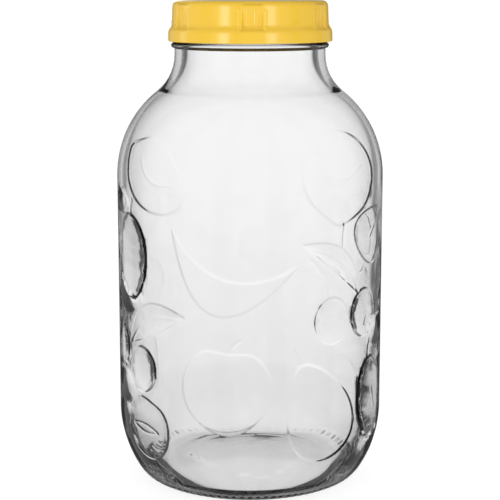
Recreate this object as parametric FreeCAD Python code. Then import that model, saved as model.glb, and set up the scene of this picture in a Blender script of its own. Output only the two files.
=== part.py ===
import FreeCAD, Part
import math
import os

# Five litre twist-off jar with its moulded cap, standing on its bearing ring.
# Millimetres. The origin is the centre of the plane the jar stands on and +Z points up the axis.
# Every round form is an outline in the X-Z plane (radius, height), turned about the Z axis.

# ---- Jar: driving sizes ----
GLASS_HEIGHT = 311.5            # standing plane to sealing lip
BODY_DIAMETER = 176.0           # straight part of the body, over the crests of its relief
BODY_WALL = 3.7
BODY_TOP_BELOW_LIP = 109.5      # where the shoulder starts to turn in
SHOULDER_RADIUS = 69.0          # outside arc that turns the body in
FINISH_DIAMETER = 94.4          # wall under the cap, between the thread ridges
FINISH_WALL = 2.9               # that wall's thickness, down to the mouth's bore
NECK_STEP = 1.6                 # neck's radius beyond the finish wall

# ---- Jar: heel and base ----
FOOT_INSET = 28.5               # body side to the outer edge of the flat bearing ring
HEEL_CORNER_RADIUS = 19.5       # small arc next to the bearing ring
HEEL_SWEEP_RADIUS = 77.0        # large arc between that corner and the straight body
BEARING_RING_WIDTH = 5.0
PUSH_UP = 3.5                   # rise of the hollow underside at the axis
FLOOR_HEIGHT = 5.8              # inside floor above the standing plane, at its outer edge
FLOOR_CROWN = 2.5               # further rise of the inside floor at the axis
FLOOR_INSET = 26.0              # inside wall to the outer edge of the floor
FLOOR_CORNER_RADIUS = 14.5
FLOOR_SWEEP_RADIUS = 73.0

# ---- Jar: finish (the part under the cap) ----
BEAD_REACH = 2.2                # transfer bead's radius beyond the neck
BEAD_HEIGHT = 3.5
BEAD_BELOW_LIP = 25.7           # middle of the transfer bead
FLARE_TOP_BELOW_BEAD = 5.8      # bead's middle to where the flare has become the straight neck
FINISH_FILLET = 1.2
LIP_ROUND = 1.2
RIDGE_COUNT = 6                 # interrupted thread starts, one per twist lug
RIDGE_HEIGHT = 1.0              # out from the finish wall
RIDGE_WIDTH = 2.2
RIDGE_SPAN = 46.0               # degrees of turn that one ridge covers
RIDGE_RISE = 2.6                # height gained over that turn
RIDGE_LOW_BELOW_LIP = 8.6       # middle of a ridge at its low end
RIDGE_ROOT = 0.6                # depth that a ridge is rooted in the wall

# ---- Cap: driving sizes ----
CAP_HEIGHT = 26.0
CAP_TOP_PLATE = 1.8
CAP_WALL = 1.5
CAP_WALL_CLEARANCE = 0.6        # thread ridge to the inside of the cap wall
CAP_DRAFT = 0.4                 # growth of the upper wall's radius from its top to its foot
CAP_TOP_ROUND = 3.8
CAP_BAND_STEP = 2.4             # lower band's radius beyond the foot of the upper wall
CAP_BAND_TOP = 5.3              # band's full radius starts this far above the rim
CAP_STEP_TOP = 12.3             # the step has left the upper wall this far above the rim
CAP_BAND_DRAFT = 0.15
CAP_RIM_ROUND = 0.4
SEAL_PAD_DEPTH = 1.0            # sealing pad under the top plate, which meets the lip
SEAL_PAD_MARGIN = 1.0           # pad's radius beyond the lip
LUG_HEIGHT = 1.6
LUG_SPAN = 9.0                  # degrees
LUG_CLEARANCE = 0.3             # lug to the finish wall, and to the ridge above it

# ---- Cap: grips ----
GRIP_COUNT = 6
GRIP_TURN = 1.7                 # degrees from the front to the first grip's middle
GRIP_WIDTH = 15.3               # between the middles of the outer grooves, round the wall
GRIP_TOP_BELOW_CAP = 3.9        # where the pad has run out into the wall
GROOVES_PER_GRIP = 4
GROOVE_WIDTH = 3.0
GROOVE_DEPTH = 0.8
GROOVE_TOP_BELOW_CAP = 4.9
GROOVE_FOOT_ABOVE_BAND = 3.6    # band's full radius to the groove's lower end


# ---- Derived sizes shared by both pieces ----
BODY_RADIUS = BODY_DIAMETER / 2
FINISH_RADIUS = FINISH_DIAMETER / 2
BORE_RADIUS = FINISH_RADIUS - FINISH_WALL
NECK_RADIUS = FINISH_RADIUS + NECK_STEP
RIDGE_RADIUS = FINISH_RADIUS + RIDGE_HEIGHT
BODY_TOP = GLASS_HEIGHT - BODY_TOP_BELOW_LIP
BEAD_Z = GLASS_HEIGHT - BEAD_BELOW_LIP
FLARE_TOP = BEAD_Z - FLARE_TOP_BELOW_BEAD
CAP_TOP = GLASS_HEIGHT + SEAL_PAD_DEPTH + CAP_TOP_PLATE
CAP_RIM = CAP_TOP - CAP_HEIGHT
CAP_BORE_RADIUS = RIDGE_RADIUS + CAP_WALL_CLEARANCE     # inside the cap wall at its top
CAP_RADIUS = CAP_BORE_RADIUS + CAP_WALL                 # outside the cap wall at its top
CAP_FOOT_RADIUS = CAP_RADIUS + CAP_DRAFT                # outside the cap wall at its foot
CAP_BAND_RADIUS = CAP_FOOT_RADIUS + CAP_BAND_STEP       # outside the band at its top
CAP_PLATE_Z = CAP_TOP - CAP_TOP_PLATE                   # underside of the top plate
CAP_STEP_FOOT_Z = CAP_RIM + CAP_BAND_TOP
CAP_STEP_TOP_Z = CAP_RIM + CAP_STEP_TOP
AXIS = FreeCAD.Vector(0, 0, 1)
CENTRE = FreeCAD.Vector(0, 0, 0)


# ---- Outline helpers ----
def at(radius, height):
    """A point of an outline."""
    return FreeCAD.Vector(radius, 0, height)


def line(start, end):
    """A straight edge between two (radius, height) points."""
    return Part.LineSegment(at(*start), at(*end)).toShape()


def arc(centre, radius, start_deg, end_deg):
    """An arc about a (radius, height) centre, from one direction to another."""
    points = []
    for degrees in (start_deg, (start_deg + end_deg) / 2, end_deg):
        turn = math.radians(degrees)
        points.append(at(centre[0] + radius * math.cos(turn), centre[1] + radius * math.sin(turn)))
    return Part.Arc(*points).toShape()


def joined(edges):
    """The edges with a straight edge added wherever one ends away from the next."""
    chain = []
    for edge in edges:
        if chain:
            last = chain[-1].valueAt(chain[-1].LastParameter)
            first = edge.valueAt(edge.FirstParameter)
            if last.distanceToPoint(first) > 1e-6:
                chain.append(Part.LineSegment(last, first).toShape())
        chain.append(edge)
    return chain


def turned(edges, start_deg=0.0, span_deg=360.0):
    """The solid that a closed outline sweeps as it turns about the axis."""
    face = Part.Face(Part.Wire(Part.__sortEdges__(edges)))
    face.rotate(CENTRE, AXIS, start_deg)
    return face.revolve(CENTRE, AXIS, span_deg)


def closed(edges):
    """A joined outline with its last point led back to its first."""
    chain = joined(edges)
    last = chain[-1].valueAt(chain[-1].LastParameter)
    first = chain[0].valueAt(chain[0].FirstParameter)
    if last.distanceToPoint(first) > 1e-6:
        chain.append(Part.LineSegment(last, first).toShape())
    return chain


# ---- Jar outlines ----
def crown_arc(edge_radius, edge_height, rise):
    """A shallow arc from the axis down to an edge, level at the axis."""
    radius = (edge_radius ** 2 + rise ** 2) / (2 * rise)
    centre = (0, edge_height + rise - radius)
    edge_deg = math.degrees(math.acos(edge_radius / radius))
    return arc(centre, radius, 90, edge_deg)


def heel_arcs(side, foot, floor, corner, sweep):
    """Two tangent arcs that lead from a level floor to an upright side."""
    corner_centre = (foot, floor + corner)
    run = foot - (side - sweep)
    rise = math.sqrt((sweep - corner) ** 2 - run ** 2)
    sweep_centre = (side - sweep, corner_centre[1] + rise)
    meet_deg = -math.degrees(math.atan2(rise, run))
    return [
        arc(corner_centre, corner, -90, meet_deg),
        arc(sweep_centre, sweep, meet_deg, 0),
    ]


def shoulder_arcs(side, shoulder, neck):
    """The arc that turns the side in and the tangent arc that flares out of the neck."""
    centre = (side - shoulder, BODY_TOP)
    rise = FLARE_TOP - BODY_TOP
    offset = neck - centre[0]
    flare = (rise ** 2 + offset ** 2 - shoulder ** 2) / (2 * (shoulder - offset))
    flare_centre = (neck + flare, FLARE_TOP)
    meet_deg = math.degrees(math.atan2(rise, flare_centre[0] - centre[0]))
    return [
        arc(centre, shoulder, 0, meet_deg),
        arc(flare_centre, flare, meet_deg + 180, 180),
    ]


def bead_edges():
    """The transfer bead, with the hollow fillets that join it to neck and finish."""
    half = BEAD_HEIGHT / 2
    middle = (NECK_RADIUS + BEAD_REACH - half, BEAD_Z)
    lower = middle[0] - NECK_RADIUS
    lower_centre = (NECK_RADIUS + lower, BEAD_Z - half - lower)
    upper_centre = (FINISH_RADIUS + FINISH_FILLET, BEAD_Z + half + FINISH_FILLET)
    return [
        arc(lower_centre, lower, 180, 90),
        arc(middle, half, -90, 90),
        arc(upper_centre, FINISH_FILLET, 270, 180),
    ]


def lip_edges():
    """The rounded lip, with the narrow flat land that the cap seals on."""
    height = GLASS_HEIGHT - LIP_ROUND
    return [
        arc((FINISH_RADIUS - LIP_ROUND, height), LIP_ROUND, 0, 90),
        arc((BORE_RADIUS + LIP_ROUND, height), LIP_ROUND, 90, 180),
    ]


def reversed_edges(edges):
    """The same path walked the other way."""
    back = []
    for edge in reversed(edges):
        start = edge.valueAt(edge.LastParameter)
        middle = edge.valueAt((edge.FirstParameter + edge.LastParameter) / 2)
        end = edge.valueAt(edge.FirstParameter)
        back.append(Part.Arc(start, middle, end).toShape())
    return back


def jar_body():
    """Outside, lip and inside of the jar as one closed outline, turned."""
    foot = BODY_RADIUS - FOOT_INSET
    inner_side = BODY_RADIUS - BODY_WALL
    inner_foot = inner_side - FLOOR_INSET
    outside = [crown_arc(foot - BEARING_RING_WIDTH, 0, PUSH_UP)]
    outside += heel_arcs(BODY_RADIUS, foot, 0, HEEL_CORNER_RADIUS, HEEL_SWEEP_RADIUS)
    outside += shoulder_arcs(BODY_RADIUS, SHOULDER_RADIUS, NECK_RADIUS)
    outside += bead_edges()
    inside = [crown_arc(inner_foot, FLOOR_HEIGHT, FLOOR_CROWN)]
    inside += heel_arcs(inner_side, inner_foot, FLOOR_HEIGHT, FLOOR_CORNER_RADIUS, FLOOR_SWEEP_RADIUS)
    inside += shoulder_arcs(inner_side, SHOULDER_RADIUS - BODY_WALL, BORE_RADIUS)
    return turned(closed(outside + lip_edges() + reversed_edges(inside)))


def thread_ridge():
    """One interrupted thread start: a tapered rib that climbs round the finish."""
    base, crest = RIDGE_WIDTH / 2, RIDGE_WIDTH / 4
    root = FINISH_RADIUS - RIDGE_ROOT
    outline = [
        line((root, -base), (RIDGE_RADIUS, -crest)),
        line((RIDGE_RADIUS, crest), (root, base)),
    ]
    ridge = turned(closed(outline), -RIDGE_SPAN / 2, RIDGE_SPAN)
    climb = math.atan2(RIDGE_RISE, FINISH_RADIUS * math.radians(RIDGE_SPAN))
    ridge.rotate(CENTRE, FreeCAD.Vector(1, 0, 0), math.degrees(climb))
    ridge.translate(FreeCAD.Vector(0, 0, GLASS_HEIGHT - RIDGE_LOW_BELOW_LIP + RIDGE_RISE / 2))
    ridge.rotate(CENTRE, AXIS, RIDGE_SPAN / 2)
    return ridge


def make_jar():
    """The glass: turned body with its thread starts spaced round the finish."""
    jar = jar_body()
    ridge = thread_ridge()
    for number in range(RIDGE_COUNT):
        copy = ridge.copy()
        copy.rotate(CENTRE, AXIS, number * 360 / RIDGE_COUNT)
        jar = jar.fuse(copy)
    return jar


# ---- Cap ----
def step_arcs(inset):
    """The S-shaped step from the upper wall out to the band, as two equal arcs, this far inside the cap."""
    rise = CAP_STEP_TOP_Z - CAP_STEP_FOOT_Z
    radius = (CAP_BAND_STEP ** 2 + rise ** 2) / (4 * CAP_BAND_STEP)
    turn = math.degrees(math.asin(rise / 2 / radius))
    return [
        arc((CAP_FOOT_RADIUS - inset + radius, CAP_STEP_TOP_Z), radius, 180, 180 + turn),
        arc((CAP_BAND_RADIUS - inset - radius, CAP_STEP_FOOT_Z), radius, turn, 0),
    ]


def cap_shell():
    """The cap without grips or lugs: top plate, wall, step, band and sealing pad."""
    rim = CAP_BAND_RADIUS + CAP_BAND_DRAFT
    pad = FINISH_RADIUS + SEAL_PAD_MARGIN
    outside = [
        line((0, CAP_TOP), (CAP_RADIUS - CAP_TOP_ROUND, CAP_TOP)),
        arc((CAP_RADIUS - CAP_TOP_ROUND, CAP_TOP - CAP_TOP_ROUND), CAP_TOP_ROUND, 90, 0),
    ]
    outside += step_arcs(0)
    outside += [
        arc((rim - CAP_RIM_ROUND, CAP_RIM + CAP_RIM_ROUND), CAP_RIM_ROUND, 0, -90),
        line((rim - CAP_RIM_ROUND, CAP_RIM), (rim - CAP_WALL, CAP_RIM)),
    ]
    inside = reversed_edges(step_arcs(CAP_WALL)) + [
        line((CAP_BORE_RADIUS, CAP_PLATE_Z), (pad, CAP_PLATE_Z)),
        line((pad, GLASS_HEIGHT), (0, GLASS_HEIGHT)),
    ]
    return turned(closed(outside + inside))


def grip_pad():
    """The raised pad of one grip: flush with the band below, run out into the wall above."""
    top = CAP_TOP - GRIP_TOP_BELOW_CAP
    root = CAP_RADIUS - CAP_WALL / 2
    outline = [
        line((root, CAP_STEP_FOOT_Z), (CAP_BAND_RADIUS, CAP_STEP_FOOT_Z)),
        line((CAP_BAND_RADIUS, CAP_STEP_FOOT_Z), (CAP_RADIUS, top)),
        line((CAP_RADIUS, top), (root, top)),
    ]
    span = math.degrees(GRIP_WIDTH / CAP_RADIUS)
    return turned(closed(outline), -span / 2, span)


def grip_surface_radius(height, on_pad):
    """Outside radius of the pad's face or of the wall beside it at a height."""
    if on_pad:
        low, high = CAP_STEP_FOOT_Z, CAP_TOP - GRIP_TOP_BELOW_CAP
        wide = CAP_BAND_RADIUS
    else:
        low, high = CAP_STEP_TOP_Z, CAP_TOP - CAP_TOP_ROUND
        wide = CAP_FOOT_RADIUS
    return wide + (CAP_RADIUS - wide) * (height - low) / (high - low)


def groove_cutter(on_pad):
    """A round-ended pocket whose floor leans with the surface it is cut into."""
    half = GROOVE_WIDTH / 2
    high = CAP_TOP - GROOVE_TOP_BELOW_CAP - half
    low = CAP_STEP_FOOT_Z + GROOVE_FOOT_ABOVE_BAND + half
    top = at(grip_surface_radius(high, on_pad) - GROOVE_DEPTH, high)
    foot = at(grip_surface_radius(low, on_pad) - GROOVE_DEPTH, low)
    up = (top - foot).normalize() * half
    side = FreeCAD.Vector(0, half, 0)
    outline = [
        Part.Arc(top - side, top + up, top + side).toShape(),
        Part.LineSegment(top + side, foot + side).toShape(),
        Part.Arc(foot + side, foot - up, foot - side).toShape(),
        Part.LineSegment(foot - side, top - side).toShape(),
    ]
    outward = side.cross(up).normalize()
    return Part.Face(Part.Wire(outline)).extrude(outward * (GROOVE_DEPTH + CAP_BAND_STEP))


def wall_core():
    """All that lies inside the middle of the cap's wall, which the lugs' roots are trimmed to."""
    half = CAP_WALL / 2
    upper = [line((0, CAP_PLATE_Z), (CAP_RADIUS - half, CAP_PLATE_Z))]
    lower = [line((CAP_BAND_RADIUS - half, CAP_RIM), (0, CAP_RIM))]
    return turned(closed(upper + step_arcs(half) + lower))


def twist_lug():
    """One lug that catches under a thread ridge when the cap is twisted home."""
    top = GLASS_HEIGHT - RIDGE_LOW_BELOW_LIP - RIDGE_WIDTH / 2 - LUG_CLEARANCE
    tip = FINISH_RADIUS + LUG_CLEARANCE
    outline = [
        line((CAP_BAND_RADIUS, top), (tip, top)),
        line((tip, top - LUG_HEIGHT / 2), (CAP_BAND_RADIUS, top - LUG_HEIGHT)),
    ]
    return turned(closed(outline), 0, LUG_SPAN).common(wall_core())


def make_cap():
    """The cap: shell, twist lugs, grip pads and the grooves that divide them."""
    cap = cap_shell()
    pitch = 360 / GRIP_COUNT
    front = GRIP_TURN - 90
    groove_step = math.degrees(GRIP_WIDTH / CAP_RADIUS) / (GROOVES_PER_GRIP - 1)
    pads = []
    grooves = []
    for grip in range(GRIP_COUNT):
        pad = grip_pad()
        pad.rotate(CENTRE, AXIS, front + grip * pitch)
        pads.append(pad)
        for number in range(GROOVES_PER_GRIP):
            on_pad = 0 < number < GROOVES_PER_GRIP - 1
            cutter = groove_cutter(on_pad)
            offset = (number - (GROOVES_PER_GRIP - 1) / 2) * groove_step
            cutter.rotate(CENTRE, AXIS, front + grip * pitch + offset)
            grooves.append(cutter)
    lugs = []
    for number in range(RIDGE_COUNT):
        lug = twist_lug()
        lug.rotate(CENTRE, AXIS, number * 360 / RIDGE_COUNT)
        lugs.append(lug)
    return cap.fuse(pads + lugs).removeSplitter().cut(grooves)


def main():
    """Builds each piece and writes it to its own STEP file."""
    os.makedirs("parts", exist_ok=True)
    for node, shape in (("jar", make_jar()), ("cap", make_cap())):
        solid = shape.Solids[0]
        assert len(shape.Solids) == 1 and solid.isValid(), node
        solid.exportStep(f"parts/{node}.step")
        print(node, "volume cm3", round(solid.Volume / 1000, 1), solid.optimalBoundingBox())


main()
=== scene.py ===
import logging
import math
from dataclasses import dataclass, field
from enum import Enum
from typing import Callable, Iterator, Sequence

import bmesh
import bpy
import numpy as np
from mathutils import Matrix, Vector


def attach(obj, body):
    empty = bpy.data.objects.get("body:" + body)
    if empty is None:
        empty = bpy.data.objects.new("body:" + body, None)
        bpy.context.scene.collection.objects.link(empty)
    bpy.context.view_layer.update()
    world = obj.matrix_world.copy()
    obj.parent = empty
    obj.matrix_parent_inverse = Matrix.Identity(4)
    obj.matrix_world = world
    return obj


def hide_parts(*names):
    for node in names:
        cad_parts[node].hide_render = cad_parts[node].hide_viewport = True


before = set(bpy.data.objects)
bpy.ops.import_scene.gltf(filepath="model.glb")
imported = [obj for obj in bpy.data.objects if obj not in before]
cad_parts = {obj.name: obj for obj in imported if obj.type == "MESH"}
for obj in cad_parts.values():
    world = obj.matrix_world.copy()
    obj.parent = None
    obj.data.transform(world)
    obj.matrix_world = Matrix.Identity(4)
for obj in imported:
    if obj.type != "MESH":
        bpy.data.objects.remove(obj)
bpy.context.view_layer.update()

MM = 0.001
LOG = logging.getLogger("jar")


# ---- outlines
class Outline:
    """A path of radius and height, in millimetres, that is turned about the Z axis.

    It keeps closely spaced points for exact placing, and the distances along it at
    which rings of vertices stand.
    """

    DENSE = 0.05

    def __init__(self) -> None:
        self.points: list[np.ndarray] = []
        self.rings: list[float] = [0.0]
        self.length = 0.0
        self.marks: dict[str, float] = {}

    def _extend(self, points: np.ndarray, cell: float) -> "Outline":
        if self.points:
            gap = float(np.linalg.norm(points[0] - self.points[-1][-1]))
            if gap > 1e-4:
                self.line(tuple(points[0]), cell)
            points = np.vstack([self.points[-1][-1], points[1:]])
        length = float(np.linalg.norm(np.diff(points, axis=0), axis=1).sum())
        count = max(1, math.ceil(length / cell))
        self.rings += [self.length + length * (n + 1) / count for n in range(count)]
        self.points.append(points)
        self.length += length
        return self

    def start(self, point: tuple[float, float]) -> "Outline":
        """Sets the first point."""
        self.points = [np.array([point, point], float)]
        return self

    def line(self, end: tuple[float, float], cell: float) -> "Outline":
        """A straight run to a point.

        Args:
            end: Radius and height where the run ends.
            cell: Longest spacing of vertex rings along it.

        Returns:
            The outline, so that calls can be chained.
        """
        first, last = self.points[-1][-1], np.array(end, float)
        count = max(2, math.ceil(float(np.linalg.norm(last - first)) / self.DENSE))
        share = np.linspace(0, 1, count + 1)[:, None]
        return self._extend(first + (last - first) * share, cell)

    def arc(self, centre: tuple[float, float], radius: float, start: float, end: float,
            cell: float) -> "Outline":
        """An arc about a centre, from one direction to another in degrees."""
        count = max(4, math.ceil(abs(math.radians(end - start)) * radius / self.DENSE))
        turn = np.radians(np.linspace(start, end, count + 1))
        return self._extend(np.array(centre) + radius * np.column_stack([np.cos(turn), np.sin(turn)]), cell)

    def mark(self, name: str) -> "Outline":
        """Remembers how far along the outline it now is."""
        self.marks[name] = self.length
        return self

    def table(self) -> tuple[np.ndarray, np.ndarray]:
        """Distances along the path and the points there."""
        points = np.vstack(self.points)
        steps = np.linalg.norm(np.diff(points, axis=0), axis=1)
        keep = np.concatenate([[True], steps > 1e-9])
        points = points[keep]
        along = np.concatenate([[0.0], np.cumsum(np.linalg.norm(np.diff(points, axis=0), axis=1))])
        return along, points


def smooth(share: np.ndarray) -> np.ndarray:
    """Smooth step from 0 to 1 as share goes from 0 to 1."""
    share = np.clip(share, 0, 1)
    return share * share * (3 - 2 * share)


def wrap(turn: np.ndarray) -> np.ndarray:
    """Angles in radians brought between -pi and pi."""
    return (turn + math.pi) % (2 * math.pi) - math.pi


def curve(points: Sequence[tuple[float, float]], closed: bool, per_span: int = 8) -> np.ndarray:
    """A smooth curve through points that lie well apart.

    Args:
        points: Points in millimetres, x to the right and y up.
        closed: Whether the last point leads back to the first.
        per_span: Number of straight runs between two of the points.

    Returns:
        The curve's points, the first repeated at the end if it is closed.
    """
    knots = np.array(points, float)
    if closed:
        knots = np.vstack([knots[-1], knots, knots[:2]])
    else:
        knots = np.vstack([2 * knots[0] - knots[1], knots, 2 * knots[-1] - knots[-2]])
    share = np.linspace(0, 1, per_span, endpoint=False)[:, None]
    spans = []
    for a, b, c, d in zip(knots, knots[1:], knots[2:], knots[3:]):
        spans.append(0.5 * (2 * b + (c - a) * share + (2 * a - 5 * b + 4 * c - d) * share ** 2
                            + (3 * b - a - 3 * c + d) * share ** 3))
    return np.vstack(spans + [knots[-2][None]])


def distance(at: np.ndarray, path: np.ndarray) -> np.ndarray:
    """Distance of each point from a path of straight runs."""
    a, b = path[:-1], path[1:]
    run = b - a
    squared = np.maximum((run ** 2).sum(1), 1e-12)
    off = at[:, None] - a[None]
    share = np.clip((off * run[None]).sum(2) / squared, 0, 1)
    return np.sqrt(((off - share[:, :, None] * run[None]) ** 2).sum(2).min(1))


def inside(at: np.ndarray, path: np.ndarray) -> np.ndarray:
    """Whether each point is inside a closed path."""
    a, b = path[:-1], path[1:]
    x, y = at[:, :1], at[:, 1:]
    crosses = (a[:, 1] > y) != (b[:, 1] > y)
    rise = np.where(np.abs(b[:, 1] - a[:, 1]) < 1e-12, 1e-12, b[:, 1] - a[:, 1])
    return ((crosses & (x < a[:, 0] + (y - a[:, 1]) * (b[:, 0] - a[:, 0]) / rise)).sum(1) % 2).astype(bool)


# ---- turned skins
HeightField = Callable[[np.ndarray, np.ndarray], np.ndarray]


@dataclass
class TurnedSkin:
    """An outline turned about the axis, refined where it has detail and displaced there.

    Attributes:
        outline: Path from the axis round the piece and back to the axis.
        steps: Cells in one full turn.
        lift: Displacement in millimetres at (turn in radians, distance along the outline).
        need: Size of cell wanted, in millimetres, at the same places.
        levels: How often a cell can be halved.
    """

    outline: Outline
    steps: int
    lift: HeightField
    need: HeightField
    levels: int

    def mesh(self, name: str) -> bpy.types.Mesh:
        """Builds the mesh, in metres, at its place in the object."""
        along, points = self.outline.table()
        bm = bmesh.new()
        layer = bm.verts.layers.float.new("along")
        chain = []
        for stop in self.outline.rings:
            r, z = np.interp(stop, along, points[:, 0]), np.interp(stop, along, points[:, 1])
            vert = bm.verts.new((0.0, -r, z))
            vert[layer] = stop
            chain.append(vert)
        edges = [bm.edges.new(pair) for pair in zip(chain, chain[1:])]
        bmesh.ops.spin(bm, geom=chain + edges, cent=(0, 0, 0), axis=(0, 0, 1), angle=math.tau,
                       steps=self.steps, use_merge=True)
        bmesh.ops.remove_doubles(bm, verts=bm.verts, dist=1e-4)
        self._refine(bm, layer, along, points)
        bmesh.ops.recalc_face_normals(bm, faces=bm.faces)
        turn, stops = self._places(bm, layer)
        mesh = bpy.data.meshes.new(name)
        for face in bm.faces:
            face.smooth = True
        bm.to_mesh(mesh)
        bm.free()
        where = self._place(turn, stops, along, points)
        mesh.vertices.foreach_set("co", (where * MM).astype(np.float32).ravel())
        mesh.update()
        self._set_normals(mesh, turn, stops, along, points)
        mesh.attributes.remove(mesh.attributes["along"])
        return mesh

    @staticmethod
    def _places(bm: bmesh.types.BMesh, layer) -> tuple[np.ndarray, np.ndarray]:
        co = np.array([v.co[:] for v in bm.verts])
        return np.arctan2(co[:, 0], -co[:, 1]), np.array([v[layer] for v in bm.verts])

    def _refine(self, bm: bmesh.types.BMesh, layer, along: np.ndarray, points: np.ndarray) -> None:
        for _ in range(self.levels):
            faces = list(bm.faces)
            turn, stop, size = [], [], []
            for face in faces:
                centre = face.calc_center_median()
                turn.append(math.atan2(centre.x, -centre.y))
                stop.append(sum(v[layer] for v in face.verts) / len(face.verts))
                size.append(math.sqrt(face.calc_area()))
            wanted = self.need(np.array(turn), np.array(stop))
            chosen = [face for face, want, has in zip(faces, wanted, size) if has > want * 1.25]
            cut = dict.fromkeys(edge for face in chosen for edge in face.edges)
            if not cut:
                return
            bmesh.ops.subdivide_edges(bm, edges=list(cut), cuts=1, use_grid_fill=True)

    def _place(self, turn: np.ndarray, stops: np.ndarray, along: np.ndarray,
               points: np.ndarray) -> np.ndarray:
        """Where the displaced skin is, in millimetres."""
        r, z = np.interp(stops, along, points[:, 0]), np.interp(stops, along, points[:, 1])
        ahead = np.minimum(stops + 0.05, along[-1])
        back = np.maximum(stops - 0.05, 0)
        dr = np.interp(ahead, along, points[:, 0]) - np.interp(back, along, points[:, 0])
        dz = np.interp(ahead, along, points[:, 1]) - np.interp(back, along, points[:, 1])
        size = np.maximum(np.hypot(dr, dz), 1e-9)
        lift = self.lift(turn, stops)
        r = r + lift * dz / size
        z = z - lift * dr / size
        return np.column_stack([r * np.sin(turn), -r * np.cos(turn), z])

    def _set_normals(self, mesh: bpy.types.Mesh, turn: np.ndarray, stops: np.ndarray,
                     along: np.ndarray, points: np.ndarray) -> None:
        usual = np.empty(len(mesh.vertices) * 3, np.float32)
        mesh.vertex_normals.foreach_get("vector", usual)
        usual = usual.reshape(-1, 3).astype(float)
        radius = np.interp(stops, along, points[:, 0])
        side = 0.08 / np.maximum(radius, 1.0)
        right = self._place(turn + side, stops, along, points)
        across = right - self._place(turn - side, stops, along, points)
        up = self._place(turn, stops + 0.08, along, points) - self._place(turn, stops - 0.08, along, points)
        exact = np.cross(across, up)
        size = np.linalg.norm(exact, axis=1)
        exact /= np.maximum(size, 1e-12)[:, None]
        exact *= np.sign((exact * usual).sum(1))[:, None]
        good = (radius > 1.0) & (size > 1e-9)
        normals = np.where(good[:, None], exact, usual)
        mesh.normals_split_custom_set_from_vertices(normals.tolist())


# ---- relief
Points = tuple[tuple[float, float], ...]


@dataclass(frozen=True)
class Motif:
    """One moulded fruit or leaf: a raised or sunk area with an edge, and lines drawn on or beside it.

    Attributes:
        edge: Points that the edge goes through, in millimetres.
        lines: Open lines, raised above the surface.
        creases: Open lines, cut into the area.
    """

    edge: Points
    lines: tuple[Points, ...] = ()
    creases: tuple[Points, ...] = ()


def leaning(points: Sequence[tuple[float, float]], lean: float) -> Points:
    """Turns points clockwise about the motif's middle by that many degrees."""
    turn = math.radians(lean)
    cosine, sine = math.cos(turn), math.sin(turn)
    return tuple((x * cosine + y * sine, y * cosine - x * sine) for x, y in points)


def fruit(width: float, height: float, lean: float = 0.0, taper: float = 0.0, tip: float = 0.0,
          dent: float = 0.0) -> Points:
    """Outline of a whole fruit.

    Args:
        width: Millimetres across.
        height: Millimetres from top to foot.
        lean: Degrees that its top leans to the right.
        taper: Share by which it narrows toward its top.
        tip: Millimetres that its foot is drawn out to a point.
        dent: Millimetres that its top is pressed in.

    Returns:
        The outline's points, without the first again at the end.
    """
    count = 24
    dent_reach = 0.45
    tip_reach = 0.3
    points = []
    for n in range(count):
        turn = math.tau * n / count
        pressed = dent * math.exp(-(math.remainder(turn, math.tau) / dent_reach) ** 2)
        drawn = tip * math.exp(-((turn - math.pi) / tip_reach) ** 2)
        x = width / 2 * math.sin(turn) * (1 - taper * math.cos(turn))
        points.append((x, height / 2 * math.cos(turn) - pressed - drawn))
    return leaning(points, lean)


def crescent(length: float, width: float, lean: float = 0.0, bend: float = 0.0) -> Points:
    """Outline of a leaf or, with more bend, of a banana, pointed at both ends.

    Args:
        length: Millimetres from end to end.
        width: Millimetres across the middle.
        lean: Degrees that its right end drops.
        bend: Millimetres that its ends stand above its middle.

    Returns:
        The outline's points, without the first again at the end.
    """
    half = 8
    shares = [n / half for n in range(-half, half + 1)]
    upper = [(length / 2 * s, bend * s * s + width / 2 * (1 - s * s)) for s in shares]
    lower = [(length / 2 * s, bend * s * s - width / 2 * (1 - s * s)) for s in reversed(shares[1:-1])]
    return leaning([(x, y - bend / 3) for x, y in upper + lower], lean)


def rib(length: float, lean: float = 0.0, bend: float = 0.0) -> Points:
    """The middle rib of a leaf, or a fold inside a fruit.

    Args:
        length: Millimetres from end to end.
        lean: Degrees that its right end drops.
        bend: Millimetres that its ends stand above its middle.

    Returns:
        The line's points.
    """
    return leaning([(length / 2 * n / 3, bend * (n * n / 9 - 1 / 3)) for n in range(-3, 4)], lean)


def stem(x: float, y: float, length: float, lean: float = 0.0) -> Points:
    """A short curved stem that grows upward.

    Args:
        x: Millimetres of its foot to the right of the motif's middle.
        y: Millimetres of its foot above the motif's middle.
        length: Millimetres that it rises.
        lean: Degrees that its top leans to the right.

    Returns:
        The line's points.
    """
    sway = length * math.tan(math.radians(lean))
    return (x, y), (x + 0.2 * sway, y + 0.5 * length), (x + sway, y + length)


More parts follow.
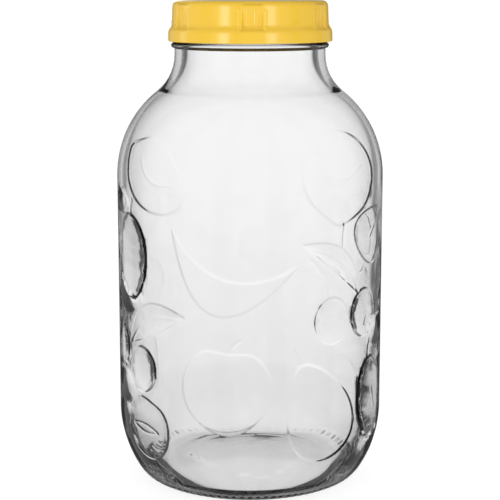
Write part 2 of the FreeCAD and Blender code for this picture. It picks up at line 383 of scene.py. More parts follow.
class Shape(Enum):
    """The fruits and leaves of the relief, in millimetres about their own middles."""

    PEACH = Motif(fruit(62, 54, lean=8, tip=4), (stem(-1, -48, 18, lean=4),), (rib(34, lean=-4, bend=6),))
    LEMON = Motif(fruit(42, 56, lean=122, taper=0.12, tip=5), (), (rib(30, lean=28, bend=6),))
    PLUM = Motif(fruit(39, 54, lean=-4, taper=-0.06), (stem(1, 27, 9, lean=12),))
    TALL_PLUM = Motif(fruit(38, 56, lean=-12, taper=0.08), (stem(-6, 28, 11, lean=14),), (rib(15, lean=70),))
    BANANA = Motif(crescent(82, 23, lean=16, bend=30), (), (rib(10, lean=60),))
    FIG = Motif(fruit(34, 38, lean=48, taper=0.45), (), (rib(8, lean=-45),))
    CHERRY = Motif(fruit(28, 31))
    CHERRY_LEAF = Motif(crescent(58, 15, lean=38, bend=-7), (stem(-7, -22, 26, lean=-26),),
                        (rib(48, lean=38, bend=-7),))
    LEAF = Motif(crescent(56, 20, lean=-24, bend=-7), (), (rib(46, lean=-24, bend=-7),))
    BERRY = Motif(fruit(15, 27))
    HOLLOW = Motif(fruit(44, 26))
    ROUND_FRUIT = Motif(fruit(42, 42, lean=20, dent=2), (crescent(24, 5, lean=6),))
    POME = Motif(fruit(57, 56, lean=4, dent=6), (stem(3, 22, 9, lean=34),), (rib(17, lean=88, bend=2),))
    PEAR = Motif(fruit(47, 66, lean=-22, taper=0.34), (stem(-15, 32, 9, lean=-16),), (rib(15, lean=46),))


@dataclass(frozen=True)
class Swell:
    """How a motif leaves the wall, in millimetres.

    Attributes:
        step: Height of its edge; sunk if negative.
        run: Width over which the edge rises.
        dome: Height of its middle above its edge.
    """

    step: float
    run: float
    dome: float = 0.0


SOFT = Swell(-0.26, 2.2)
SUNK = Swell(-0.34, 2.0)
PROUD = Swell(0.60, 1.9, 0.45)
ROUND = Swell(0.46, 1.7, 0.30)
LOW = Swell(0.34, 1.8, 0.24)
FINE = Swell(0.22, 1.2, 0.14)
THIN = Swell(0.0, 2.0, -0.9)


@dataclass(frozen=True)
class Placed:
    """A motif on the jar.

    Attributes:
        shape: The fruit or leaf.
        swell: How it leaves the wall.
        angle: Degrees of its middle from the front, positive to the right.
        height: Millimetres of its middle above the ground.
        scale: Size against the shape's own.
    """

    shape: Shape
    swell: Swell
    angle: float
    height: float
    scale: float = 1.0


PANEL = (
    Placed(Shape.HOLLOW, THIN, -72, 188, 0.6),
    Placed(Shape.HOLLOW, THIN, -63, 129, 0.9),
    Placed(Shape.HOLLOW, THIN, -68, 68, 0.9),
    Placed(Shape.HOLLOW, THIN, -66, 45, 1.1),
    Placed(Shape.HOLLOW, THIN, 70, 104, 0.8),
    Placed(Shape.HOLLOW, THIN, 70, 30, 0.9),
    Placed(Shape.LEMON, SUNK, -45, 207),
    Placed(Shape.PEACH, SUNK, 42, 209),
    Placed(Shape.PLUM, PROUD, -61, 155),
    Placed(Shape.BANANA, SOFT, -11, 146),
    Placed(Shape.FIG, FINE, 62, 171),
    Placed(Shape.CHERRY_LEAF, LOW, 39, 154),
    Placed(Shape.CHERRY, LOW, 36, 119, 0.95),
    Placed(Shape.CHERRY, ROUND, 56, 120),
    Placed(Shape.LEAF, LOW, -46, 115),
    Placed(Shape.CHERRY, PROUD, -52, 84, 0.95),
    Placed(Shape.BERRY, PROUD, -68, 95),
    Placed(Shape.ROUND_FRUIT, LOW, -50, 46),
    Placed(Shape.POME, SOFT, -10, 79),
    Placed(Shape.PEAR, SUNK, 30, 62),
    Placed(Shape.TALL_PLUM, PROUD, 64, 62),
)


class Relief:
    """The embossed panels on the body of the jar."""

    LINE = 0.18
    LINE_RUN = 0.9
    CREASE = 0.08
    GATHER = 1.0
    MARGIN = 6.0
    SHIFT = 0.35
    RISE = 4
    FAR = 99.0

    def __init__(self, placed: Sequence[Placed], panels: dict[float, float], radius: float) -> None:
        self.radius = radius
        self.items = [(item, math.radians(item.angle + turn), depth)
                      for turn, depth in panels.items() for item in placed]

    def _local(self, item: Placed, middle: float, turn: np.ndarray, height: np.ndarray) -> np.ndarray:
        """Places on the wall in a motif's own millimetres."""
        return np.column_stack([wrap(turn - middle) * self.radius, height - item.height]) / item.scale

    def _near(self, turn: np.ndarray, height: np.ndarray) -> Iterator[tuple]:
        """Each motif with its panel's depth and the places near it, local and by number."""
        for item, middle, depth in self.items:
            motif = item.shape.value
            local = self._local(item, middle, turn, height)
            drawn = np.array([point for line in (motif.edge, *motif.lines, *motif.creases) for point in line])
            low, high = drawn.min(0) - self.MARGIN, drawn.max(0) + self.MARGIN
            close = np.flatnonzero(((local > low) & (local < high)).all(1))
            if len(close):
                yield item, motif, depth, local[close], close

    def _swell(self, item: Placed, motif: Motif, at: np.ndarray) -> tuple[np.ndarray, np.ndarray]:
        """How far a motif covers each place, and the share of its dome there."""
        path = curve(motif.edge, True)
        deep = distance(at, path) * np.where(inside(at, path), 1, -1) * item.scale
        middle, half = (path.max(0) + path.min(0)) / 2, np.ptp(path, axis=0) / 2
        middle[0] -= math.copysign(self.SHIFT * half[0], item.angle) * (item.swell.step > 0)
        bulge = np.maximum(1 - (((at - middle) / half) ** 2).sum(1), 0) * smooth(deep / self.RISE)
        return smooth(deep / item.swell.run + 0.5), bulge

    def lift(self, turn: np.ndarray, height: np.ndarray) -> np.ndarray:
        """Height of the relief in millimetres at each place; later motifs cover earlier ones."""
        total = np.zeros(len(turn))
        for item, motif, depth, at, close in self._near(turn, height):
            cover, bulge = self._swell(item, motif, at)
            here = item.swell.step * cover + item.swell.dome * bulge
            for line in motif.creases:
                off = distance(at, curve(line, False)) * item.scale
                here -= self.CREASE * np.exp(-(off / self.LINE_RUN) ** 2)
            for line in motif.lines:
                off = distance(at, curve(line, False)) * item.scale
                here += self.LINE * np.exp(-(off / self.LINE_RUN) ** 2)
            total[close] = total[close] * (1 - cover) + here * depth
        return total

    def gather(self, turn: np.ndarray, height: np.ndarray) -> np.ndarray:
        """How far the glass gathers into the jar behind the raised motifs."""
        total = np.zeros(len(turn))
        for item, motif, depth, at, close in self._near(turn, height):
            cover, bulge = self._swell(item, motif, at)
            total[close] = total[close] * (1 - cover) + self.GATHER * item.swell.dome * bulge * depth
        return total

    def nearness(self, turn: np.ndarray, height: np.ndarray) -> np.ndarray:
        """Distance in millimetres to the nearest edge or line of the relief."""
        least = np.full(len(turn), self.FAR)
        for item, motif, _, at, close in self._near(turn, height):
            paths = [curve(motif.edge, True)] + [curve(line, False) for line in motif.lines + motif.creases]
            for path in paths:
                least[close] = np.minimum(least[close], distance(at, path) * item.scale)
        return least


# ---- shader graphs
class Socket:
    """A shader output that takes part in arithmetic."""

    def __init__(self, graph: "Graph", output: bpy.types.NodeSocket) -> None:
        self.graph = graph
        self.output = output

    def _math(self, operation: str, *others: "Socket | float") -> "Socket":
        return self.graph.math(operation, self, *others)

    def __add__(self, other: "Socket | float") -> "Socket":
        return self._math("ADD", other)

    def __radd__(self, other: float) -> "Socket":
        return self.graph.math("ADD", other, self)

    def __sub__(self, other: "Socket | float") -> "Socket":
        return self._math("SUBTRACT", other)

    def __rsub__(self, other: float) -> "Socket":
        return self.graph.math("SUBTRACT", other, self)

    def __mul__(self, other: "Socket | float") -> "Socket":
        return self._math("MULTIPLY", other)

    def __rmul__(self, other: float) -> "Socket":
        return self.graph.math("MULTIPLY", other, self)

    def __mod__(self, other: "Socket | float") -> "Socket":
        return self._math("FLOORED_MODULO", other)


class Graph:
    """A node tree that is filled by calls that read like formulas."""

    def __init__(self, tree: bpy.types.NodeTree) -> None:
        self.tree = tree
        tree.nodes.clear()

    def node(self, kind: str, settings: dict | None = None, inputs: dict | None = None) -> bpy.types.Node:
        """Adds a node.

        Args:
            kind: Type name of the node.
            settings: Properties, set before the sockets.
            inputs: Values or sockets by input name or number.

        Returns:
            The node.
        """
        made = self.tree.nodes.new(kind)
        for key, value in (settings or {}).items():
            setattr(made, key, value)
        for key, value in (inputs or {}).items():
            if isinstance(value, Socket):
                self.tree.links.new(value.output, made.inputs[key])
            else:
                made.inputs[key].default_value = value
        return made

    def get(self, kind: str, settings: dict | None = None, inputs: dict | None = None,
            output: str | int = 0) -> Socket:
        """Adds a node and returns one of its outputs."""
        return Socket(self, self.node(kind, settings, inputs).outputs[output])

    def math(self, operation: str, *values: "Socket | float") -> Socket:
        """A maths node of that operation."""
        return self.get("ShaderNodeMath", {"operation": operation}, dict(enumerate(values)))

    def step(self, value: Socket, low: float, high: float, start: float = 0.0, end: float = 1.0) -> Socket:
        """Smooth step of a value between two limits."""
        return self.get("ShaderNodeMapRange", {"interpolation_type": "SMOOTHSTEP"},
                        {"Value": value, "From Min": low, "From Max": high, "To Min": start, "To Max": end})

    def mix(self, factor: "Socket | float", a, b) -> Socket:
        """Blend of two colours."""
        return self.get("ShaderNodeMix", {"data_type": "RGBA"}, {0: factor, 6: a, 7: b}, 2)

    def noise(self, scale: float, detail: float = 2.0, roughness: float = 0.5) -> Socket:
        """Noise in the object's own coordinates."""
        where = self.get("ShaderNodeTexCoord", output="Object")
        return self.get("ShaderNodeTexNoise", {}, {"Vector": where, "Scale": scale, "Detail": detail,
                                                   "Roughness": roughness})


@dataclass(frozen=True)
class GlassFinish:
    """Clear flint glass, fire-polished, with the faint uneven flow of a moulded wall."""

    tint: tuple[float, float, float, float] = (0.99, 0.99, 0.99, 1.0)
    deep_tint: tuple[float, float, float, float] = (0.968, 0.971, 0.97, 1.0)
    index: float = 1.5
    flow: float = 0.05

    def material(self, name: str) -> bpy.types.Material:
        """Makes the material."""
        made = bpy.data.materials.new(name)
        made.use_nodes = True
        graph = Graph(made.node_tree)
        flow = graph.noise(22.0, 2.0)
        seed = graph.noise(160.0, 3.0)
        bump = graph.get("ShaderNodeBump", {}, {"Strength": self.flow, "Distance": 0.002, "Height": flow})
        surface = graph.get("ShaderNodeBsdfPrincipled", {}, {
            "Base Color": graph.mix(seed, self.tint, self.deep_tint),
            "Roughness": graph.step(seed, 0.4, 0.8, 0.0, 0.008),
            "IOR": self.index,
            "Transmission Weight": 1.0,
            "Normal": bump,
        })
        graph.node("ShaderNodeOutputMaterial", {}, {"Surface": surface})
        return made


@dataclass(frozen=True)
class CapFinish:
    """Glossy yellow moulded polypropylene with the faint orange peel of its mould."""

    colour: tuple[float, float, float, float] = (0.835, 0.53, 0.044, 1.0)
    worn: tuple[float, float, float, float] = (0.86, 0.555, 0.062, 1.0)
    gloss: float = 0.14
    scuffed: float = 0.22

    def material(self, name: str) -> bpy.types.Material:
        """Makes the material."""
        made = bpy.data.materials.new(name)
        made.use_nodes = True
        graph = Graph(made.node_tree)
        cloud = graph.noise(45.0, 3.0)
        peel = graph.noise(900.0, 2.0)
        bump = graph.get("ShaderNodeBump", {}, {"Strength": 0.06, "Distance": 0.0005, "Height": peel})
        surface = graph.get("ShaderNodeBsdfPrincipled", {}, {
            "Base Color": graph.mix(cloud, self.colour, self.worn),
            "Roughness": graph.step(cloud, 0.3, 0.8, self.gloss, self.scuffed),
            "IOR": 1.5,
            "Normal": bump,
        })
        graph.node("ShaderNodeOutputMaterial", {}, {"Surface": surface})
        return made


# ---- jar
@dataclass
class Jar:
    """The glass: body, shoulder, neck and finish, with its relief and heel beads."""

    lip: float = 311.45
    body: float = 86.8
    wall: float = 3.2
    body_top: float = 202.0
    shoulder: float = 69.0
    neck: float = 48.8
    bore: float = 44.3
    finish_radius: float = 47.2
    bead_z: float = 285.8
    flare_top: float = 280.0
    foot: float = 59.0
    heel_corner: float = 19.5
    heel_sweep: float = 77.0
    floor: float = 5.8
    floor_crown: float = 2.5
    floor_inset: float = 26.0
    floor_corner: float = 14.5
    floor_sweep: float = 73.0
    ring: float = 5.0
    underside_rise: float = 3.5
    lip_round: float = 1.2
    bead_reach: float = 2.2
    bead_half: float = 1.75
    starts: int = 6
    start_turn: float = 113.0
    start_span: float = 46.0
    start_drop: float = 8.55
    start_climb: float = 2.6
    start_half: float = 1.1
    heel_beads: int = 90
    heel_bead_rise: float = 0.22
    heel_low: float = 1.2
    heel_high: float = 6.5
    back_relief: float = 0.25
    cell: float = 4.4
    fine_cell: float = 0.55
    fine_cell_behind: float = 0.95
    finish: GlassFinish = field(default_factory=GlassFinish)

    def _arcs(self, path: Outline, parts: list[tuple], upward: bool) -> None:
        """Adds arcs to the path in their order, or in the other order and turned round."""
        for middle, radius, start, end in (parts if upward else reversed(parts)):
            first, last = (start, end) if upward else (end, start)
            path.arc(middle, radius, first, last, self.cell)

    def _heel(self, path: Outline, side: float, foot: float, floor: float, corner: float, sweep: float,
              upward: bool) -> None:
        """The two arcs between the foot or inside floor and the side."""
        centre = (foot, floor + corner)
        run = foot - (side - sweep)
        rise = math.sqrt((sweep - corner) ** 2 - run ** 2)
        meet = -math.degrees(math.atan2(rise, run))
        parts = [(centre, corner, -90.0, meet), ((side - sweep, centre[1] + rise), sweep, meet, 0.0)]
        self._arcs(path, parts, upward)

    def _shoulder(self, path: Outline, side: float, shoulder: float, neck: float, upward: bool) -> None:
        """The arcs of the shoulder and of the flare that meets it, up to the neck."""
        centre = (side - shoulder, self.body_top)
        rise = self.flare_top - self.body_top
        offset = neck - centre[0]
        flare = (rise ** 2 + offset ** 2 - shoulder ** 2) / (2 * (shoulder - offset))
        meet = math.degrees(math.atan2(rise, neck + flare - centre[0]))
        parts = [(centre, shoulder, 0.0, meet), ((neck + flare, self.flare_top), flare, meet + 180, 180.0)]
        self._arcs(path, parts, upward)

    def _crown(self, path: Outline, edge: float, height: float, rise: float, outward: bool) -> None:
        """The shallow arc between the axis and an edge of that radius."""
        radius = (edge ** 2 + rise ** 2) / (2 * rise)
        rim = math.degrees(math.acos(edge / radius))
        if outward:
            path.arc((0, height + rise - radius), radius, 90, rim, self.cell)
        else:
            path.arc((0, height + rise - radius), radius, rim, 90, self.cell)

    def outline(self) -> Outline:
        """The whole section, from the axis under the base to the axis on the inside floor."""
        path = Outline().start((0.0, self.underside_rise))
        self._crown(path, self.foot - self.ring, 0.0, self.underside_rise, True)
        path.line((self.foot, 0.0), 2.5)
        self._heel(path, self.body, self.foot, 0.0, self.heel_corner, self.heel_sweep, True)
        path.line((self.body, self.body_top), self.cell)
        self._shoulder(path, self.body, self.shoulder, self.neck, True)
        path.mark("neck")
        half, soft = self.bead_half, self.lip_round
        lower = self.bead_reach - half
        path.arc((self.neck + lower, self.bead_z - half - lower), lower, 180, 90, 0.2)
        path.arc((self.neck + lower, self.bead_z), half, -90, 90, 0.6)
        path.arc((self.finish_radius + soft, self.bead_z + half + soft), soft, 270, 180, 0.6)
        path.mark("thread")
        path.line((self.finish_radius, self.lip - soft), 2.2)
        path.arc((self.finish_radius - soft, self.lip - soft), soft, 0, 90, 0.5)
        path.mark("lip")
        path.arc((self.bore + soft, self.lip - soft), soft, 90, 180, 0.5)
        path.mark("inner")
        path.line((self.bore, self.flare_top), self.cell)
        inner = self.body - self.wall
        self._shoulder(path, inner, self.shoulder - self.wall, self.bore, False)
        foot = inner - self.floor_inset
        self._heel(path, inner, foot, self.floor, self.floor_corner, self.floor_sweep, False)
        self._crown(path, foot, self.floor, self.floor_crown, False)
        return path

    def _thread(self, turn: np.ndarray, height: np.ndarray) -> np.ndarray:
        """Height of the interrupted thread starts round the finish."""
        end_run = 2.5
        flank = 0.55
        total = np.zeros(len(turn))
        span = math.radians(self.start_span)
        for number in range(self.starts):
            share = wrap(turn - math.radians(self.start_turn + 360 / self.starts * number)) / span
            middle = self.lip - self.start_drop + self.start_climb * (share + 0.5)
            ends = smooth((0.5 - np.abs(share)) * self.start_span / end_run)
            total = np.maximum(total, ends * smooth((self.start_half - np.abs(height - middle)) / flank))
        return total

    def _heel_beading(self, turn: np.ndarray, height: np.ndarray) -> np.ndarray:
        """Height of the small bearing beads round the heel."""
        beads = np.cos(turn * self.heel_beads)
        band = smooth((height - self.heel_low) / 1.5) * smooth((self.heel_high - height) / 2.5)
        return self.heel_bead_rise * band * smooth((beads + 0.1) / 0.9)

    @staticmethod
    def _flow(turn: np.ndarray, height: np.ndarray, radius: np.ndarray) -> np.ndarray:
        """The faint uneven flow of the inner wall, which fades toward the axis."""
        wave = (np.sin(turn * 11 + height * 0.045) * np.sin(height * 0.11 + 2.1 * np.sin(turn * 2))
                + 0.6 * np.sin(turn * 17 - height * 0.08 + 1.3) * np.sin(height * 0.17 + turn * 3))
        return -0.015 * wave * smooth((radius - 40) / 25)

    @staticmethod
    def _pool(turn: np.ndarray, height: np.ndarray, radius: np.ndarray) -> np.ndarray:
        """Swirls on the inner floor and the puddle of thicker glass in its middle."""
        x, y = radius * np.sin(turn), radius * np.cos(turn)
        swirl = np.sin(x / 11 + 2 * np.sin(y / 17)) * np.cos(y / 9 + 1.5 * np.sin(x / 15))
        around = np.arctan2(x, y)
        edge = 40 + 3 * np.sin(3 * around + 1) + 1.5 * np.sin(7 * around)
        puddle = smooth((edge - np.hypot(x, y)) / 4 + 0.5)
        return (0.10 * swirl + 0.45 * puddle) * smooth((20 - height) / 8)

    def skin(self) -> TurnedSkin:
        """The displaced skin of the glass."""
        path = self.outline()
        along, points = path.table()
        relief = Relief(PANEL, {0.0: 1.0, 180.0: self.back_relief}, self.body)
        neck, thread, lip, inner = (path.marks[key] for key in ("neck", "thread", "lip", "inner"))
        coarse, heel_cell, finish_cell = 9.0, 1.1, 1.4

        def lift(turn: np.ndarray, stops: np.ndarray) -> np.ndarray:
            height = np.interp(stops, along, points[:, 1])
            radius = np.interp(stops, along, points[:, 0])
            out = stops < neck
            total = np.zeros(len(turn))
            body = out & (radius > self.foot + 2)
            total[body] = relief.lift(turn[body], height[body])
            heel = out & (radius > self.foot - 1) & (height < self.heel_high + 2)
            total[heel] += self._heel_beading(turn[heel], height[heel])
            finish = (stops > thread) & (stops < lip)
            total[finish] = self._thread(turn[finish], height[finish])
            back = stops > inner
            total[back] = self._flow(turn[back], height[back], radius[back])
            side = back & (radius > 60) & (height > 20)
            total[side] += relief.gather(turn[side], height[side])
            pool = back & (height < 20)
            total[pool] += self._pool(turn[pool], height[pool], radius[pool])
            return total

        def need(turn: np.ndarray, stops: np.ndarray) -> np.ndarray:
            height = np.interp(stops, along, points[:, 1])
            radius = np.interp(stops, along, points[:, 0])
            want = np.full(len(turn), coarse)
            body = (stops < neck) & (radius > self.foot + 2) & (height > 12)
            near = relief.nearness(turn[body], height[body])
            finest = np.where(np.cos(turn[body]) > 0, self.fine_cell, self.fine_cell_behind)
            want[body] = np.maximum(finest, self.fine_cell + (near - 0.8) * 0.75)
            heel = (stops < neck) & (radius > self.foot - 1) & (height < self.heel_high + 1)
            want[heel] = heel_cell
            finish = (stops > thread) & (stops < lip)
            want[finish] = finish_cell
            return want

        return TurnedSkin(path, 128, lift, need, 3)

    def build(self) -> bpy.types.Object:
        """Makes the piece, dressed and riding on its body."""
        obj = bpy.data.objects.new("jar_glass", self.skin().mesh("jar_glass"))
        bpy.context.scene.collection.objects.link(obj)
        obj.data.materials.append(self.finish.material("glass"))
        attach(obj, "root")
        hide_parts("jar")
        LOG.info("jar_glass: %d faces", len(obj.data.polygons))
        return obj


# ---- cap
@dataclass
class Cap:
    """The twist-off cap: top plate, wall with six grips, step, band and sealing pad."""

    top: float = 314.3
    rim: float = 288.3
    lip: float = 311.5
    radius: float = 50.3
    foot_radius: float = 50.7
    band: float = 53.1
    band_foot: float = 53.25
    wall: float = 1.5
    bore: float = 48.8
    pad: float = 48.2
    plate: float = 1.8
    rim_round: float = 0.6
    rim_inner_round: float = 0.4
    top_round: float = 3.8
    step_top: float = 300.6
    step_foot: float = 293.6
    grips: int = 6
    grip_turn: float = 1.7
    grip_half: float = 6.15
    grip_top: float = 310.4
    grip_flank: float = 0.7
    grip_spread: float = 4.5
    grip_spread_height: float = 5.0
    groove_half: float = 1.5
    groove_depth: float = 0.26
    groove_low: float = 297.2
    groove_high: float = 309.4
    groove_wall: float = 0.7
    outer_groove_share: float = 0.9
    grooves: tuple[float, ...] = (-7.65, -2.55, 2.55, 7.65)
    lug_reach: float = 47.55
    lug_span: float = 9.0
    lug_half: float = 1.0
    lug_z: float = 300.7
    finish: CapFinish = field(default_factory=CapFinish)

    def _step(self, path: Outline, inset: float, downward: bool) -> None:
        """The S-shaped step between the wall and the wider band."""
        reach = self.band - self.foot_radius
        rise = self.step_top - self.step_foot
        radius = (reach ** 2 + rise ** 2) / (4 * reach)
        turn = math.degrees(math.asin(rise / 2 / radius))
        upper = ((self.foot_radius - inset + radius, self.step_top), 180.0, 180.0 + turn)
        lower = ((self.band - inset - radius, self.step_foot), turn, 0.0)
        for centre, start, end in ((upper, lower) if downward else (lower, upper)):
            path.arc(centre, radius, start if downward else end, end if downward else start, 1.2)

    def outline(self) -> Outline:
        """The section, from the axis on top round the wall to the axis under the pad."""
        path = Outline().start((0.0, self.top))
        path.line((self.radius - self.top_round, self.top), 4.4)
        path.arc((self.radius - self.top_round, self.top - self.top_round), self.top_round, 90, 0, 0.8)
        path.mark("wall")
        path.line((self.foot_radius, self.step_top), 2.2)
        self._step(path, 0.0, True)
        outer, inner = self.rim_round, self.rim_inner_round
        path.line((self.band_foot, self.rim + outer), 2.2)
        path.mark("rim")
        path.arc((self.band_foot - outer, self.rim + outer), outer, 0, -90, 0.3)
        path.arc((self.band_foot - self.wall + inner, self.rim + inner), inner, -90, -180, 0.3)
        path.mark("inside")
        path.line((self.band - self.wall, self.step_foot), 2.2)
        self._step(path, self.wall, False)
        path.line((self.bore, self.top - self.plate - 0.5), 2.2)
        path.mark("plate")
        path.line((self.pad, self.top - self.plate), 0.6)
        path.line((self.pad - 0.2, self.lip), 0.6)
        path.line((0.0, self.lip), 4.4)
        return path

    def _across(self, turn: np.ndarray) -> np.ndarray:
        """Distance along the wall from the middle of the nearest grip."""
        half_turn = math.pi / self.grips
        local = (turn - math.radians(self.grip_turn) + half_turn) % (2 * half_turn) - half_turn
        return local * self.radius

    def _grip(self, s: np.ndarray, z: np.ndarray, r: np.ndarray) -> np.ndarray:
        """Height of the grips' pads less the depth of their grooves.

        Args:
            s: Distance along the wall from the middle of a grip.
            z: Height.
            r: Radius of the plain wall.

        Returns:
            The displacement in millimetres.
        """
        share = (z - self.step_foot) / (self.grip_top - self.step_foot)
        face = self.band + (self.radius - self.band) * np.clip(share, 0, 1)
        spread = self.grip_spread * (1 - smooth((z - self.step_foot) / self.grip_spread_height))
        mask = smooth((self.grip_half + self.grip_flank / 2 + spread - np.abs(s)) / self.grip_flank)
        low, high = self.groove_low + self.groove_half, self.groove_high - self.groove_half
        cut = np.zeros(len(s))
        for middle in self.grooves:
            outer = abs(middle) > self.grip_half
            dx = np.abs(s - middle)
            dz = np.maximum(np.maximum(low - z, z - high), 0)
            edge = self.groove_half - np.hypot(dx, dz)
            floor = self.groove_depth * (self.outer_groove_share if outer else 1.0)
            cut = np.maximum(cut, floor * np.clip(edge / self.groove_wall + 0.1, 0, 1))
        return np.maximum(face - r, 0) * mask - cut

    def _lugs(self, turn: np.ndarray, height: np.ndarray, radius: np.ndarray) -> np.ndarray:
        """Reach of the twist lugs inside the wall."""
        pitch = 2 * math.pi / self.grips
        end_run, flank = math.radians(1.0), 0.4
        local = (turn + pitch - math.radians(90)) % pitch
        ends = smooth(local / end_run) * smooth((math.radians(self.lug_span) - local) / end_run)
        tall = smooth((self.lug_half - np.abs(height - self.lug_z)) / flank)
        return np.maximum(radius - self.lug_reach, 0) * ends * tall

    def skin(self) -> TurnedSkin:
        """The displaced skin of the cap."""
        path = self.outline()
        along, points = path.table()
        wall, rim, inside_mark, plate = (path.marks[key] for key in ("wall", "rim", "inside", "plate"))
        coarse, grip_cell, round_cell, lug_cell = 9.0, 0.24, 1.2, 0.8

        def lift(turn: np.ndarray, stops: np.ndarray) -> np.ndarray:
            height = np.interp(stops, along, points[:, 1])
            radius = np.interp(stops, along, points[:, 0])
            total = np.zeros(len(turn))
            out = (stops > wall - 2.0) & (stops < rim)
            total[out] = self._grip(self._across(turn[out]), height[out], radius[out])
            inner = (stops > inside_mark) & (stops < plate)
            total[inner] = self._lugs(turn[inner], height[inner], radius[inner])
            return total

        def need(turn: np.ndarray, stops: np.ndarray) -> np.ndarray:
            height = np.interp(stops, along, points[:, 1])
            s = np.abs(self._across(turn))
            want = np.full(len(turn), coarse)
            grip = (stops > wall - 1.0) & (stops < rim) & (height > self.step_foot - 1.0) & (s < 11.5)
            want[grip] = grip_cell
            round_edge = (stops > wall - 6.5) & (stops <= wall - 1.0)
            want[round_edge] = round_cell
            inner = (stops > inside_mark) & (stops < plate) & (np.abs(height - self.lug_z) < 2.0)
            want[inner] = lug_cell
            return want

        return TurnedSkin(path, 96, lift, need, 4)

    def build(self) -> bpy.types.Object:
        """Makes the piece, dressed and riding on its body."""
        obj = bpy.data.objects.new("cap_moulding", self.skin().mesh("cap_moulding"))
        bpy.context.scene.collection.objects.link(obj)
        obj.data.materials.append(self.finish.material("cap"))
        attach(obj, "root")
        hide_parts("cap")
        LOG.info("cap_moulding: %d faces", len(obj.data.polygons))
        return obj


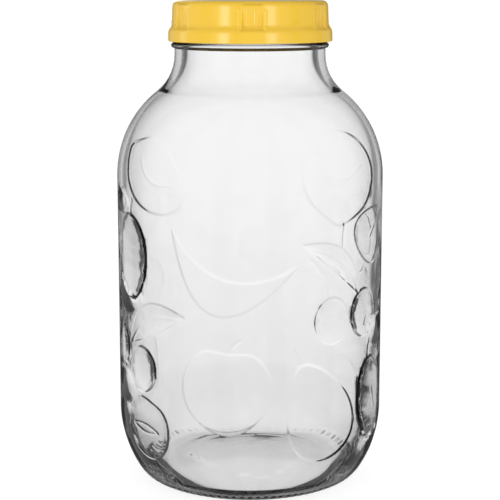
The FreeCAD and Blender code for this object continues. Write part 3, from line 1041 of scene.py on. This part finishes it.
# ---- studio
@dataclass
class Studio:
    """White sweep, softboxes, surroundings and camera."""

    camera_back: float = 0.981
    camera_height: float = 0.3255
    camera_tilt: float = 10.08
    lens: float = 108.4
    sensor: float = 36.0
    floor_radius: float = 60.0
    floor_glow: float = 0.86
    floor_colour: tuple[float, float, float, float] = (0.35, 0.35, 0.35, 1.0)
    box_width: float = 0.30
    box_height: float = 0.85
    box_distance: float = 1.25
    box_middle: float = 0.45
    box_radiance: float = 4.4

    def surroundings(self) -> None:
        """World light: plain for diffuse light, a ring of white cards and dark flags seen through glass."""
        world = bpy.data.worlds.new("surroundings")
        bpy.context.scene.world = world
        world.use_nodes = True
        graph = Graph(world.node_tree)
        rays = graph.node("ShaderNodeLightPath")
        camera = Socket(graph, rays.outputs["Is Camera Ray"])
        glossy = Socket(graph, rays.outputs["Is Glossy Ray"])
        passing = Socket(graph, rays.outputs["Is Transmission Ray"])
        depth = Socket(graph, rays.outputs["Transmission Depth"])
        turned = graph.step(Socket(graph, rays.outputs["Glossy Depth"]), 0.4, 0.6)
        way = graph.get("ShaderNodeTexCoord", output="Generated")
        parts = graph.node("ShaderNodeSeparateXYZ", {}, {0: way})
        x, y, z = (Socket(graph, parts.outputs[n]) for n in range(3))
        degrees = 180 / math.pi
        azimuth = graph.math("ARCTAN2", x, y) * degrees
        elevation = graph.math("ARCSINE", z) * degrees
        # Eight white cards stand round the object, 45 degrees apart, with a dark flag between each two.
        local = (azimuth + 17.0) % 45.0
        flag = 1.0 - graph.step(33.0 - local, 0.0, 4.0) * graph.step(local, 1.0, 4.0)
        card = graph.step(local, 1.0, 14.0, 0.78, 1.07) * graph.step(33.0 - local, 0.0, 10.0, 0.88, 1.0)
        tall = graph.step(elevation, 8.0, 20.0, 1.0, 0.4) * graph.step(elevation, -26.0, -4.0, 0.74, 1.0)
        tall = tall * graph.step(elevation, -58.0, -36.0, 0.10, 1.0)
        through = card * (1.0 - flag * 0.95) * tall
        # Slanted streaks, darker low down.
        slanted = azimuth * 0.07 + elevation * 0.5
        spread = graph.get("ShaderNodeCombineXYZ", {}, {0: slanted, 1: elevation * 0.9})
        patches = graph.get("ShaderNodeTexNoise", {}, {"Vector": spread, "Scale": 1.0, "Detail": 3.0,
                                                       "Roughness": 0.6})
        lifted = patches + graph.step(elevation, -12.0, -5.0, -0.04, 0.26)
        streaks = graph.step(lifted, 0.43, 0.65, 0.02, 0.66)
        # Rays that were reflected on their way see dark sides, light above and the streaks below.
        inner = graph.step(elevation, 16.0, 34.0, 0.12, 0.75)
        inner = inner + (streaks - inner) * graph.step(elevation, -34.0, -24.0, 1.0, 0.0)
        inner = inner * graph.step(elevation, -58.0, -40.0, 0.05, 1.0)
        through = through + (inner - through) * turned
        # Rays that have crossed no more than two surfaces see the streaks, unless they go steeply down.
        stays = (1.0 - graph.step(depth, 2.4, 2.6)) * graph.step(elevation, -38.0, -22.0)
        through = through + (streaks - through) * stays
        shine = graph.step(elevation, -10.0, 30.0, 0.42, 0.32) * (1.0 - flag * 0.8)
        plain = 0.62
        level = plain + (shine - plain) * glossy
        level = level + (through - level) * passing
        level = level + (1.0 - level) * camera
        backdrop = graph.get("ShaderNodeBackground", {}, {"Color": (1.0, 1.0, 1.0, 1.0), "Strength": level})
        graph.node("ShaderNodeOutputWorld", {}, {"Surface": backdrop})

    def floor(self) -> None:
        """A white sweep that keeps only the object's own soft shadow."""
        bm = bmesh.new()
        bmesh.ops.create_circle(bm, cap_ends=True, segments=64, radius=self.floor_radius)
        mesh = bpy.data.meshes.new("floor")
        bm.to_mesh(mesh)
        bm.free()
        obj = bpy.data.objects.new("floor", mesh)
        bpy.context.scene.collection.objects.link(obj)
        made = bpy.data.materials.new("floor")
        made.use_nodes = True
        graph = Graph(made.node_tree)
        glow = graph.get("ShaderNodeEmission", {}, {"Strength": self.floor_glow})
        paper = graph.get("ShaderNodeBsdfDiffuse", {}, {"Color": self.floor_colour})
        both = graph.get("ShaderNodeAddShader", {}, {0: glow, 1: paper})
        graph.node("ShaderNodeOutputMaterial", {}, {"Surface": both})
        mesh.materials.append(made)
        obj.visible_transmission = False
        obj.visible_glossy = False

    def softbox(self, name: str, lit: bpy.types.Collection, azimuth: float, strength: float) -> None:
        """One upright softbox that faces the object.

        Args:
            name: Name of the lamp.
            lit: The pieces that it lights.
            azimuth: Degrees from the front, positive to the right.
            strength: Share of the usual radiance.
        """
        lamp = bpy.data.lights.new(name, "AREA")
        lamp.shape = "RECTANGLE"
        lamp.size, lamp.size_y = self.box_width, self.box_height
        lamp.energy = self.box_radiance * strength * math.pi * self.box_width * self.box_height
        obj = bpy.data.objects.new(name, lamp)
        turn = math.radians(azimuth)
        away = self.box_distance
        obj.location = (away * math.sin(turn), -away * math.cos(turn), self.box_middle)
        aim = Vector((0, 0, self.box_middle)) - obj.location
        obj.rotation_euler = aim.to_track_quat("-Z", "Y").to_euler()
        obj.visible_camera = False
        obj.visible_transmission = False
        obj.light_linking.receiver_collection = lit
        bpy.context.scene.collection.objects.link(obj)

    def camera(self) -> None:
        """The camera that sees the object as it was photographed."""
        data = bpy.data.cameras.new("camera")
        data.lens, data.sensor_width = self.lens, self.sensor
        obj = bpy.data.objects.new("camera", data)
        obj.location = (0.0, -self.camera_back, self.camera_height)
        obj.rotation_euler = (math.radians(90 - self.camera_tilt), 0.0, 0.0)
        bpy.context.scene.collection.objects.link(obj)
        bpy.context.scene.camera = obj

    def build(self, glossy: Sequence[bpy.types.Object]) -> None:
        """Sets everything up.

        Args:
            glossy: The opaque pieces that the softboxes light.
        """
        lit = bpy.data.collections.new("lit_by_softboxes")
        for obj in glossy:
            lit.objects.link(obj)
        bpy.context.scene.view_settings.view_transform = "Standard"
        self.surroundings()
        self.floor()
        for side, azimuth, strength in (("left", -36.0, 1.0), ("right", 29.0, 0.85),
                                        ("back", -168.0, 0.35), ("side", -105.0, 0.3)):
            self.softbox(f"softbox_{side}", lit, azimuth, strength)
        self.camera()


def main() -> None:
    """Builds the object and its studio."""
    logging.basicConfig(level=logging.INFO)
    Jar().build()
    cap = Cap().build()
    Studio().build([cap])


if __name__ == "__main__":
    main()
